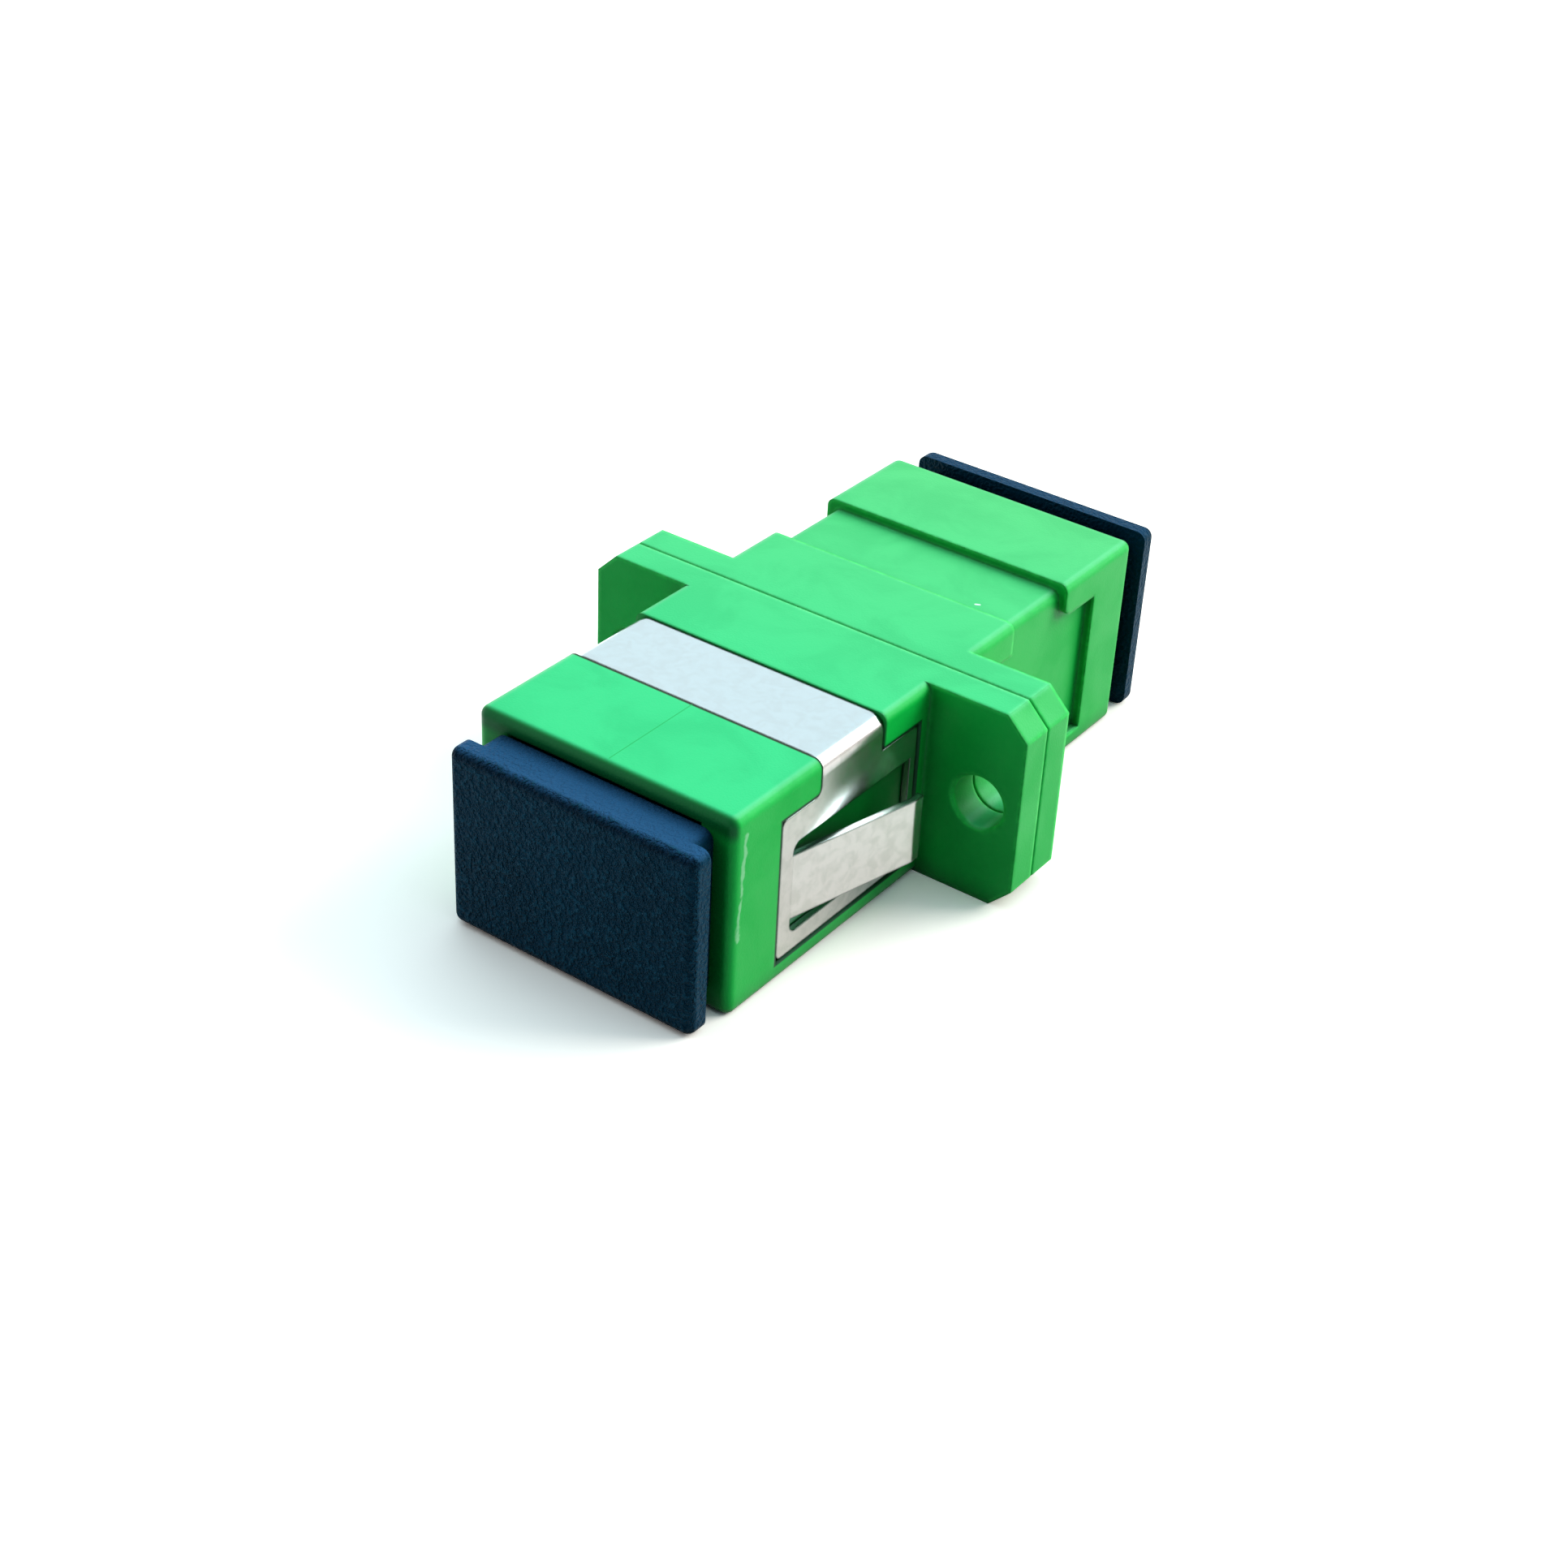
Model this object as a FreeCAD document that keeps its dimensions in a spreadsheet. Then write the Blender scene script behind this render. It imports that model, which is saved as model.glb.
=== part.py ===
import FreeCAD, Part
import os
import re
import Sketcher

from FreeCAD import Vector

os.makedirs("parts", exist_ok=True)

# Simplex SC fibre adapter: two moulded half housings joined at their flanges, a sheet clip on
# the front half, two inner holders with latch arms round a split sleeve, and a dust cap in
# each port.
# Frame: +Z up, +Y from the front port to the rear port, X across the flange. The origin is on
# the bottom face, midway across, in the parting plane between the two halves.
# Every half is drawn as the front one, reaching to -Y, and the rear one is turned about Z.

DIMENSIONS = {
    # outer form of one half housing
    "body_width": 12.7,
    "body_height": 9.2,
    "half_length": 14.6,
    "edge_radius": 0.4,
    # flange, with one screw hole in each ear
    "hole_pitch": 18.0,
    "hole_diameter": 2.4,
    "hole_bevel": 0.1,
    "ear_end": 2.0,
    "flange_thick": 1.6,
    "flange_chamfer": 1.0,
    "seam_chamfer": 0.07,
    # recess that takes the clip: a band over the top and a wider pocket on each side,
    # each set off from the flange's face
    "recess_depth": 0.4,
    "band_offset": 3.15,
    "band_length": 4.3,
    "pocket_offset": 0.58,
    "pocket_length": 9.38,
    "pocket_bottom": 0.9,
    "pocket_drop": 1.55,
    "collar_corner": 0.5,
    # port and the keyway through its floor
    "port_width": 9.2,
    "port_height": 7.5,
    "mouth_chamfer": 0.2,
    "key_width": 3.6,
    "key_length": 5.4,
    "key_corner": 0.4,
    # inner holder: base plate, barrel and latch arms
    "seat_step_width": 0.6,
    "seat_step_height": 0.2,
    "seat_gap": 0.05,
    "base_thick": 1.4,
    "base_corner": 0.3,
    "barrel_wall": 0.65,
    "barrel_chamfer": 0.3,
    "lip_length": 1.15,
    "lip_gap": 0.2,
    "arm_reach": 8.9,
    "arm_room": 1.0,
    "arm_thick": 0.75,
    "arm_height": 3.2,
    "arm_corner": 0.35,
    "hook_depth": 0.5,
    "hook_length": 1.25,
    "hook_crest": 0.45,
    # alignment sleeve
    "sleeve_bore": 2.5,
    "sleeve_wall": 0.35,
    "sleeve_length": 11.4,
    "sleeve_gap": 0.05,
    "sleeve_slit": 0.45,
    "sleeve_chamfer": 0.12,
    # clip, with the window's frame, the slots beside the tongue and the tongue itself
    "sheet_thick": 0.3,
    "clip_lift": 0.05,
    "clip_gap": 0.09,
    "plate_corner": 0.3,
    "neck_corner": 0.4,
    "frame_near_flange": 0.41,
    "frame_at_root": 0.81,
    "frame_below": 0.85,
    "frame_above": 1.41,
    "window_corner": 0.45,
    "slot_below": 0.75,
    "slot_above": 0.55,
    "tongue_rise": 1.5,
    "panel_room": 2.25,
    "lip_straight": 0.55,
    "tongue_curve": 0.5,
    # dust caps, whose plugs have some play across the port
    "cap_overhang": 0.75,
    "cap_inset": 0.07,
    "cap_thick": 0.95,
    "cap_edge": 0.45,
    "shoulder_overlap": 0.75,
    "shoulder_rise": 0.05,
    "shoulder_length": 1.1,
    "shoulder_corner": 0.5,
    "plug_length": 5.3,
    "plug_gap": 0.1,
    "plug_play": 0.4,
    "plug_wall": 0.7,
    "plug_corner": 0.3,
    "plug_floor": 0.6,
}

# Places and sizes that several features share, as expressions over the sheet's names.
side = "body_width / 2"
middle = "body_height / 2"
flange_side = "(hole_pitch / 2 + ear_end)"
waist_side = "(body_width / 2 - recess_depth)"
waist_top = "(body_height - recess_depth)"
band_start = "(flange_thick + band_offset)"
band_end = "(flange_thick + band_offset + band_length)"
pocket_start = "(flange_thick + pocket_offset)"
pocket_end = "(flange_thick + pocket_offset + pocket_length)"
pocket_top = "(body_height - pocket_drop)"
base_width = "(port_width + 2 * seat_step_width)"
base_height = "(port_height + 2 * seat_step_height)"
chamber_radius = "(sleeve_bore / 2 + sleeve_wall + sleeve_gap)"
chamber_depth = "(sleeve_length / 2 + sleeve_gap)"
sheet_inside = f"({waist_side} + clip_lift)"
sheet_outside = f"({waist_side} + clip_lift + sheet_thick)"
sheet_under = f"({waist_top} + clip_lift)"
sheet_over = f"({waist_top} + clip_lift + sheet_thick)"
plate_bottom = "(pocket_bottom + clip_gap)"
plate_top = f"({pocket_top} - clip_gap)"
window_start = f"({pocket_start} + clip_gap + frame_near_flange)"
window_end = f"({pocket_end} - clip_gap - frame_at_root)"
window_bottom = f"({plate_bottom} + frame_below)"
window_top = f"({plate_top} - frame_above)"
tongue_end = "(flange_thick + panel_room)"
tongue_bend = "(flange_thick + panel_room + lip_straight)"
shoulder_width = "(port_width + 2 * shoulder_overlap)"
shoulder_height = "(port_height + 2 * shoulder_rise)"
plug_width = "(port_width - 2 * plug_play)"
plug_height = "(port_height - 2 * plug_gap)"

closeness = 0.001
doc = FreeCAD.newDocument("sc_adapter")
sheet = doc.addObject("Spreadsheet::Sheet", "Sizes")
for row, (name, size) in enumerate(DIMENSIONS.items(), start=1):
    sheet.set(f"A{row}", name)
    sheet.set(f"B{row}", str(size))
    sheet.setAlias(f"B{row}", name)
doc.recompute()


def bound(text):
    """The expression with each of the sheet's names written as a reference to its cell."""
    return re.sub(r"[a-z_]+", lambda word: ("Sizes." if word[0] in DIMENSIONS else "") + word[0], text)


def value(text):
    """The number that an expression over the sheet's names stands for now."""
    return float(sheet.evalExpression(bound(text)))


def near(first, second):
    """Whether two lengths are the same, as far as the kernel can tell."""
    return abs(first - second) < closeness


# Sketches and features


def new_body(label, turn=0, shift="0"):
    """An empty body, turned about Z by an angle and then moved along X."""
    body = doc.addObject("PartDesign::Body", label)
    body.Label = label
    body.Placement = FreeCAD.Placement(Vector(0, 0, 0), FreeCAD.Rotation(Vector(0, 0, 1), turn))
    body.setExpression("Placement.Base.x", bound(shift))
    return body


def plane_of(body, role):
    """One of the body's own origin planes."""
    return next(feature for feature in body.Origin.OriginFeatures if feature.Role == role)


def new_sketch(body, name, role, level="0"):
    """A sketch on one of the body's planes, moved along that plane's normal to a level."""
    sketch = body.newObject("Sketcher::SketchObject", name)
    sketch.AttachmentSupport = [(plane_of(body, role), "")]
    sketch.MapMode = "FlatFace"
    sketch.setExpression("AttachmentOffset.Base.z", bound(level))
    return sketch


def dimension(sketch, kind, places, text):
    """A driven dimension of the sketch, bound to an expression."""
    index = sketch.addConstraint(Sketcher.Constraint(kind, *places, value(text)))
    sketch.setExpression(f"Constraints[{index}]", bound(text))


def draw_outline(sketch, corners):
    """A closed outline of straight edges through corners given as pairs of expressions."""
    first = sketch.GeometryCount
    points = [Vector(value(across), value(up), 0) for across, up in corners]
    count = len(points)
    for index, point in enumerate(points):
        sketch.addGeometry(Part.LineSegment(point, points[(index + 1) % count]), False)
    for index in range(count):
        following = first + (index + 1) % count
        sketch.addConstraint(Sketcher.Constraint("Coincident", first + index, 2, following, 1))
    for index, (across, up) in enumerate(corners):
        dimension(sketch, "DistanceX", (-1, 1, first + index, 1), across)
        dimension(sketch, "DistanceY", (-1, 1, first + index, 1), up)


def draw_rectangle(sketch, left, right, bottom, top):
    """A rectangle between four expressions."""
    draw_outline(sketch, [(left, bottom), (right, bottom), (right, top), (left, top)])


def draw_centred(sketch, width, height):
    """A rectangle of a width and height centred on the axis of the ports."""
    draw_rectangle(
        sketch, f"-({width}) / 2", f"({width}) / 2",
        f"{middle} - ({height}) / 2", f"{middle} + ({height}) / 2",
    )


def draw_circle(sketch, across, up, radius):
    """A circle centred on a pair of expressions."""
    centre = Vector(value(across), value(up), 0)
    index = sketch.addGeometry(Part.Circle(centre, Vector(0, 0, 1), value(radius)), False)
    dimension(sketch, "DistanceX", (-1, 1, index, 3), across)
    dimension(sketch, "DistanceY", (-1, 1, index, 3), up)
    dimension(sketch, "Radius", (index,), radius)


def pad(body, name, sketch, length, both_sides=False):
    """Material along the sketch plane's normal, or half of it to each side."""
    feature = body.newObject("PartDesign::Pad", name)
    feature.Profile = sketch
    feature.setExpression("Length", bound(length))
    if both_sides:
        feature.SideType = "Symmetric"
    doc.recompute()
    return feature


def cut(body, name, sketch, length="", along_normal=True):
    """A pocket of a given depth, or right through, and the check that it removes material."""
    before = body.Shape.Volume
    feature = body.newObject("PartDesign::Pocket", name)
    feature.Profile = sketch
    feature.Reversed = along_normal
    if length:
        feature.setExpression("Length", bound(length))
    else:
        feature.Type = "ThroughAll"
    doc.recompute()
    if feature.Shape.Volume >= before:
        raise RuntimeError(f"{name} removes nothing")
    return feature


def edges_where(feature, test):
    """Names of the edges that pass a test on their middle point and direction."""
    names = []
    for index, edge in enumerate(feature.Shape.Edges, start=1):
        if edge.Degenerated:
            continue
        halfway = (edge.FirstParameter + edge.LastParameter) / 2
        if test(edge.valueAt(halfway), edge.tangentAt(halfway)):
            names.append(f"Edge{index}")
    return names


def round_edges(body, name, radius, test):
    """A fillet on the tip's edges that pass the test."""
    base = body.Tip
    feature = body.newObject("PartDesign::Fillet", name)
    feature.Base = (base, edges_where(base, test))
    feature.setExpression("Radius", bound(radius))
    doc.recompute()
    return feature


def bevel_edges(body, name, size, test):
    """A chamfer on the tip's edges that pass the test."""
    base = body.Tip
    feature = body.newObject("PartDesign::Chamfer", name)
    feature.Base = (base, edges_where(base, test))
    feature.setExpression("Size", bound(size))
    doc.recompute()
    return feature


def mirror(body, name, features=None):
    """The same features, or the whole shape so far, on the other side of the YZ plane."""
    feature = body.newObject("PartDesign::Mirrored", name)
    if features:
        feature.Originals = features
    else:
        feature.TransformMode = "Whole shape"
    feature.MirrorPlane = (plane_of(body, "YZ_Plane"), [""])
    body.Tip = feature
    doc.recompute()
    return feature


def runs_along(direction, axis):
    """Whether a direction lies along X, Y or Z, named by 0, 1 or 2."""
    return near(abs(direction[axis]), 1)


# Half housing


def housing(label, turn):
    """One moulded half: a square tube with half of the flange, recessed for the clip."""
    body = new_body(label, turn)
    add_tube(body)
    add_flange(body)
    cut_clip_band(body)
    cut_clip_pockets(body)
    cut_port(body)
    cut_keyway(body)
    return body


def add_tube(body):
    """The long square body, rounded along its edges and round its end face."""
    sketch = new_sketch(body, "tube_outline", "XZ_Plane")
    draw_rectangle(sketch, f"-{side}", side, "0", "body_height")
    pad(body, "tube", sketch, "half_length")
    end = -value("half_length")
    round_edges(
        body, "tube_rounding", "edge_radius",
        lambda point, direction: runs_along(direction, 1) or near(point.y, end),
    )


def add_flange(body):
    """Half of the flange's thickness, with cut corners and a screw hole in each ear."""
    sketch = new_sketch(body, "flange_outline", "XZ_Plane")
    lean = f"({flange_side} - flange_chamfer)"
    top, low_top = "body_height", "body_height - flange_chamfer"
    draw_outline(sketch, [
        (flange_side, "flange_chamfer"), (flange_side, low_top), (lean, top), (f"-{lean}", top),
        (f"-{flange_side}", low_top), (f"-{flange_side}", "flange_chamfer"),
        (f"-{lean}", "0"), (lean, "0"),
    ])
    for across in ("hole_pitch / 2", "-hole_pitch / 2"):
        draw_circle(sketch, across, middle, "hole_diameter / 2")
    pad(body, "flange", sketch, "flange_thick")
    bevel_edges(body, "seam", "seam_chamfer", lambda point, direction: near(point.y, 0))
    face = -value("flange_thick")
    bevel_edges(
        body, "hole_mouths", "hole_bevel",
        lambda point, direction: near(point.y, face) and is_on_hole(point),
    )


def is_on_hole(point):
    """Whether a point is on the wall of a screw hole."""
    across = abs(point.x) - value("hole_pitch / 2")
    up = point.z - value(middle)
    return near((across ** 2 + up ** 2) ** 0.5, value("hole_diameter / 2"))


def cut_clip_band(body):
    """The band across the top, between the flange section and the collar."""
    sketch = new_sketch(body, "band_outline", "XY_Plane", waist_top)
    draw_rectangle(sketch, f"-{flange_side}", flange_side, f"-{band_end}", f"-{band_start}")
    cut(body, "band", sketch)


def cut_clip_pockets(body):
    """The pocket on each side, open to the band, with the collar's lower corner rounded."""
    sketch = new_sketch(body, "pocket_outline", "YZ_Plane", waist_side)
    above = "body_height + recess_depth"
    draw_outline(sketch, [
        (f"-{pocket_end}", "pocket_bottom"), (f"-{pocket_start}", "pocket_bottom"),
        (f"-{pocket_start}", pocket_top), (f"-{band_start}", pocket_top),
        (f"-{band_start}", above), (f"-{band_end}", above),
        (f"-{band_end}", pocket_top), (f"-{pocket_end}", pocket_top),
    ])
    mirror(body, "pocket_pair", [cut(body, "pocket", sketch)])
    collar, shelf = -value(band_end), value(pocket_top)
    round_edges(
        body, "collar_rounding", "collar_corner",
        lambda point, direction: runs_along(direction, 0) and near(point.y, collar)
        and near(point.z, shelf),
    )
    waist, ridge = value(waist_side), value(waist_top)
    round_edges(
        body, "waist_rounding", "edge_radius",
        lambda point, direction: runs_along(direction, 1) and near(abs(point.x), waist)
        and near(point.z, ridge),
    )


def cut_port(body):
    """The square port, bevelled at its mouth, and the seat for the holder's base plate."""
    sketch = new_sketch(body, "port_outline", "XZ_Plane")
    draw_centred(sketch, "port_width", "port_height")
    cut(body, "port", sketch)
    end, wall, half = -value("half_length"), value("port_width / 2"), value("port_height / 2")
    bevel_edges(
        body, "mouth", "mouth_chamfer",
        lambda point, direction: near(point.y, end) and abs(point.x) < wall + closeness
        and abs(point.z - value(middle)) < half + closeness,
    )
    sketch = new_sketch(body, "seat_outline", "XZ_Plane")
    draw_centred(sketch, f"{base_width} + 2 * seat_gap", f"{base_height} + 2 * seat_gap")
    cut(body, "seat", sketch, "base_thick + seat_gap")


def cut_keyway(body):
    """The slot through the port's floor that takes the plug's key."""
    sketch = new_sketch(body, "keyway_outline", "XY_Plane", middle)
    draw_rectangle(
        sketch, "-key_width / 2", "key_width / 2",
        "-half_length - edge_radius", "-half_length + key_length",
    )
    cut(body, "keyway", sketch, along_normal=False)
    inner_end, half = value("-half_length + key_length"), value("key_width / 2")
    round_edges(
        body, "keyway_rounding", "key_corner",
        lambda point, direction: runs_along(direction, 2) and near(point.y, inner_end)
        and near(abs(point.x), half),
    )


# Inner holder


def sleeve_holder(label, turn):
    """One inner moulding: base plate, two latch arms and half of the sleeve's barrel."""
    body = new_body(label, turn)
    sketch = new_sketch(body, "base_outline", "XZ_Plane")
    draw_centred(sketch, base_width, base_height)
    pad(body, "base", sketch, "base_thick")
    round_edges(
        body, "base_rounding", "base_corner",
        lambda point, direction: runs_along(direction, 1),
    )
    add_latch_arms(body)
    add_barrel(body)
    return body


def add_latch_arms(body):
    """Two arms with inward hooks, seen from above, ramped towards the mouth of the port."""
    sketch = new_sketch(body, "arm_outline", "XY_Plane", middle)
    outer = "port_width / 2 - arm_room"
    inner, crest = f"{outer} - arm_thick", f"{outer} - arm_thick - hook_depth"
    catch = "-arm_reach + hook_length"
    draw_outline(sketch, [
        (outer, "-base_thick / 2"), (inner, "-base_thick / 2"), (inner, catch),
        (crest, catch), (crest, f"{catch} - hook_crest"), (inner, "-arm_reach"),
        (f"{outer} - arm_corner", "-arm_reach"), (outer, "-arm_reach + arm_corner"),
    ])
    mirror(body, "arm_pair", [pad(body, "arm", sketch, "arm_height", both_sides=True)])


def add_barrel(body):
    """The barrel round the sleeve, with a lip at its tip that keeps the sleeve in."""
    sketch = new_sketch(body, "barrel_outline", "XZ_Plane")
    draw_circle(sketch, "0", middle, f"{chamber_radius} + barrel_wall")
    pad(body, "barrel", sketch, f"{chamber_depth} + lip_length")
    tip = -value(f"{chamber_depth} + lip_length")
    bevel_edges(body, "barrel_tip", "barrel_chamfer", lambda point, direction: near(point.y, tip))
    sketch = new_sketch(body, "chamber_outline", "XZ_Plane")
    draw_circle(sketch, "0", middle, chamber_radius)
    cut(body, "chamber", sketch, chamber_depth)
    sketch = new_sketch(body, "lip_outline", "XZ_Plane")
    draw_circle(sketch, "0", middle, "sleeve_bore / 2 + lip_gap")
    cut(body, "lip", sketch)


# Alignment sleeve


def split_sleeve(label):
    """A thin ceramic tube with one slit along its top, bevelled at both ends."""
    body = new_body(label)
    sketch = new_sketch(body, "sleeve_outline", "XZ_Plane")
    draw_circle(sketch, "0", middle, "sleeve_bore / 2 + sleeve_wall")
    draw_circle(sketch, "0", middle, "sleeve_bore / 2")
    pad(body, "sleeve", sketch, "sleeve_length", both_sides=True)
    end = value("sleeve_length / 2")
    bevel_edges(
        body, "sleeve_ends", "sleeve_chamfer",
        lambda point, direction: near(abs(point.y), end),
    )
    sketch = new_sketch(body, "slit_outline", "XY_Plane", middle)
    draw_rectangle(sketch, "-sleeve_slit / 2", "sleeve_slit / 2", "-sleeve_length", "sleeve_length")
    cut(body, "slit", sketch)
    return body


# Clip


def spring_clip(label):
    """One sheet folded over the top: bridge, neck, windowed side plate and flared tongue.

    The right half is made first, and the whole of it is then mirrored.
    """
    body = new_body(label)
    add_bridge(body)
    add_side_plate(body)
    add_tongue(body)
    mirror(body, "both_sides")
    return body


def add_bridge(body):
    """Half of the bridge with its bend and the neck that goes down to the side plate."""
    sketch = new_sketch(body, "bridge_outline", "XZ_Plane", f"{band_start} + clip_gap")
    neck_foot = f"{plate_top} - sheet_thick"
    draw_outline(sketch, [
        ("0", sheet_under), ("0", sheet_over), (sheet_outside, sheet_over),
        (sheet_outside, neck_foot), (sheet_inside, neck_foot), (sheet_inside, sheet_under),
    ])
    pad(body, "bridge", sketch, "band_length - 2 * clip_gap")
    outer, over = value(sheet_outside), value(sheet_over)
    round_edges(
        body, "outer_bend", "edge_radius + clip_lift + sheet_thick",
        lambda point, direction: near(point.x, outer) and near(point.z, over),
    )
    inner, under = value(sheet_inside), value(sheet_under)
    round_edges(
        body, "inner_bend", "edge_radius + clip_lift",
        lambda point, direction: near(point.x, inner) and near(point.z, under),
    )


def add_side_plate(body):
    """The plate in the side pocket, with its window and rounded corners."""
    sketch = new_sketch(body, "plate_outline", "YZ_Plane", sheet_inside)
    away, beside = f"-{pocket_end} + clip_gap", f"-{pocket_start} - clip_gap"
    draw_rectangle(sketch, away, beside, plate_bottom, plate_top)
    pad(body, "plate", sketch, "sheet_thick")
    ends = value(away), value(beside)
    round_edges(
        body, "plate_rounding", "plate_corner",
        lambda point, direction: runs_along(direction, 0)
        and (near(point.y, ends[0]) or near(point.y, ends[1])),
    )
    neck, shoulder = -value(f"{band_end} - clip_gap"), value(plate_top)
    round_edges(
        body, "neck_rounding", "neck_corner",
        lambda point, direction: runs_along(direction, 0) and near(point.y, neck)
        and near(point.z, shoulder),
    )
    sketch = new_sketch(body, "window_outline", "YZ_Plane", sheet_inside)
    draw_rectangle(sketch, f"-{window_end}", f"-{window_start}", window_bottom, window_top)
    cut(body, "window", sketch)
    root = -value(window_end)
    round_edges(
        body, "window_rounding", "window_corner",
        lambda point, direction: runs_along(direction, 0) and near(point.y, root),
    )


def add_tongue(body):
    """The strip cut from the window and bent out, with its tip bent back parallel."""
    sketch = new_sketch(body, "tongue_outline", "XY_Plane", f"{window_bottom} + slot_below")
    raised = f"({sheet_outside} + tongue_rise)"
    set_back = f"sheet_thick * tan(atan(tongue_rise / ({window_end} - {tongue_bend})) / 2)"
    land = f"-{window_end} - sheet_thick"
    draw_outline(sketch, [
        (sheet_outside, land), (sheet_outside, f"-{window_end}"), (raised, f"-{tongue_bend}"),
        (raised, f"-{tongue_end}"), (f"{raised} - sheet_thick", f"-{tongue_end}"),
        (f"{raised} - sheet_thick", f"-{tongue_bend} + {set_back}"),
        (sheet_inside, f"-{window_end} + {set_back}"), (sheet_inside, land),
    ])
    pad(body, "tongue", sketch, f"{window_top} - {window_bottom} - slot_above - slot_below")
    outer, inner = value(raised), value(f"{raised} - sheet_thick")
    bend, back = -value(tongue_bend), value(f"-{tongue_bend} + {set_back}")
    round_edges(
        body, "tip_outer_bend", "tongue_curve + sheet_thick",
        lambda point, direction: runs_along(direction, 2) and near(point.x, outer)
        and near(point.y, bend),
    )
    round_edges(
        body, "tip_inner_bend", "tongue_curve",
        lambda point, direction: runs_along(direction, 2) and near(point.x, inner)
        and near(point.y, back),
    )


# Dust cap


def dust_cap(label, turn, top, shift="0"):
    """A plate with rounded edges on a shoulder that stops it, and a hollow plug in the port."""
    body = new_body(label, turn, shift)
    add_cap_plate(body, top)
    sketch = new_sketch(body, "shoulder_outline", "XZ_Plane", "half_length")
    draw_centred(sketch, shoulder_width, shoulder_height)
    pad(body, "shoulder", sketch, "shoulder_length")
    half = value(f"{shoulder_width} / 2")
    round_edges(
        body, "shoulder_rounding", "shoulder_corner",
        lambda point, direction: runs_along(direction, 1) and near(abs(point.x), half),
    )
    add_plug(body)
    return body


def add_cap_plate(body, top):
    """The plate outside the port, rounded at its corners and round its outer face."""
    sketch = new_sketch(body, "plate_outline", "XZ_Plane", "half_length + shoulder_length")
    reach = f"({shoulder_width} / 2 + cap_overhang)"
    draw_rectangle(sketch, f"-{reach}", reach, "cap_inset", top)
    pad(body, "plate", sketch, "cap_thick")
    face = -value("half_length + shoulder_length + cap_thick")
    round_edges(
        body, "plate_rounding", "cap_edge",
        lambda point, direction: runs_along(direction, 1) or near(point.y, face),
    )


def add_plug(body):
    """The hollow plug, open towards the inside of the port."""
    sketch = new_sketch(body, "plug_outline", "XZ_Plane", "half_length - plug_length")
    draw_centred(sketch, plug_width, plug_height)
    pad(body, "plug", sketch, "plug_length")
    half = value(f"{plug_width} / 2")
    round_edges(
        body, "plug_rounding", "plug_corner",
        lambda point, direction: runs_along(direction, 1) and near(abs(point.x), half),
    )
    sketch = new_sketch(body, "hollow_outline", "XZ_Plane", "half_length - plug_length")
    draw_centred(sketch, f"{plug_width} - 2 * plug_wall", f"{plug_height} - 2 * plug_wall")
    cut(body, "hollow", sketch, "plug_length + shoulder_length - plug_floor")


def check_document():
    """Stop if any object of the document has failed or has no usable shape."""
    for item in doc.Objects:
        if "Invalid" in item.State or "Error" in item.State:
            raise RuntimeError(f"{item.Label} has failed: {item.State}")
    for body in doc.findObjects("PartDesign::Body"):
        if body.Shape.isNull() or not body.Shape.isValid() or len(body.Shape.Solids) != 1:
            raise RuntimeError(f"{body.Label} isn't one valid solid")


def write_parts():
    """One STEP file for each body, named after its label."""
    for body in doc.findObjects("PartDesign::Body"):
        body.Shape.exportStep(os.path.join("parts", f"{body.Label}.step"))
        print(f"{body.Label}: {body.Shape.Volume:.2f} mm3, {len(body.Shape.Faces)} faces")


housing("housing_front", 0)
housing("housing_rear", 180)
sleeve_holder("sleeve_holder_front", 0)
sleeve_holder("sleeve_holder_rear", 180)
split_sleeve("split_sleeve")
spring_clip("spring_clip")
dust_cap("dust_cap_front", 0, f"{middle} + {shoulder_height} / 2")
dust_cap("dust_cap_rear", 180, "body_height - 2 * cap_inset", "plug_play - plug_gap")
doc.recompute()
check_document()
write_parts()
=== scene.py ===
import bpy
from mathutils import Matrix, Vector

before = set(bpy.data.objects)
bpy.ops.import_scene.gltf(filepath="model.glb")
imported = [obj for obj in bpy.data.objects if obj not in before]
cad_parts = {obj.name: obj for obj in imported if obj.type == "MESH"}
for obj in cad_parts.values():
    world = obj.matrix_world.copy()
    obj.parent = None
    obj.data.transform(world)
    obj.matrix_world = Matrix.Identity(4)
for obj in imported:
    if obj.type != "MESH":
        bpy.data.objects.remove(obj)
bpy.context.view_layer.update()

print("packed model loaded")

# lengths below are in metres, and mm turns a figure in millimetres into them
mm = 0.001

# camera

cameraSetup = {
    "place": (52.906 * mm, -79.128 * mm, 63.222 * mm),
    "right": (0.80504, 0.59148, 0.04536),
    "up": (-0.35565, 0.42004, 0.83491),
    "back": (0.47478, -0.68827, 0.54851),
    "lens": 60.08,
    "sensor": 36.0,
}


def addCamera(setup):
    data = bpy.data.cameras.new("camera")
    data.lens = setup["lens"]
    data.sensor_width = setup["sensor"]
    data.clip_start = 0.001
    camera = bpy.data.objects.new("camera", data)
    bpy.context.scene.collection.objects.link(camera)
    axes = Matrix((setup["right"], setup["up"], setup["back"])).transposed()
    camera.matrix_world = Matrix.Translation(Vector(setup["place"])) @ axes.to_4x4()
    bpy.context.scene.camera = camera


addCamera(cameraSetup)
print("camera placed")

# helpers for nodes


def addNode(tree, kind, values=None, **settings):
    node = tree.nodes.new(kind)
    for name, value in settings.items():
        setattr(node, name, value)
    for socket, value in (values or {}).items():
        if isinstance(value, bpy.types.NodeSocket):
            tree.links.new(value, node.inputs[socket])
        else:
            node.inputs[socket].default_value = value
    return node


def calculate(tree, operation, first, second=0.0, third=0.0, clamp=False):
    node = addNode(tree, "ShaderNodeMath", {0: first, 1: second, 2: third}, operation=operation)
    node.use_clamp = clamp
    return node.outputs[0]


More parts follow.
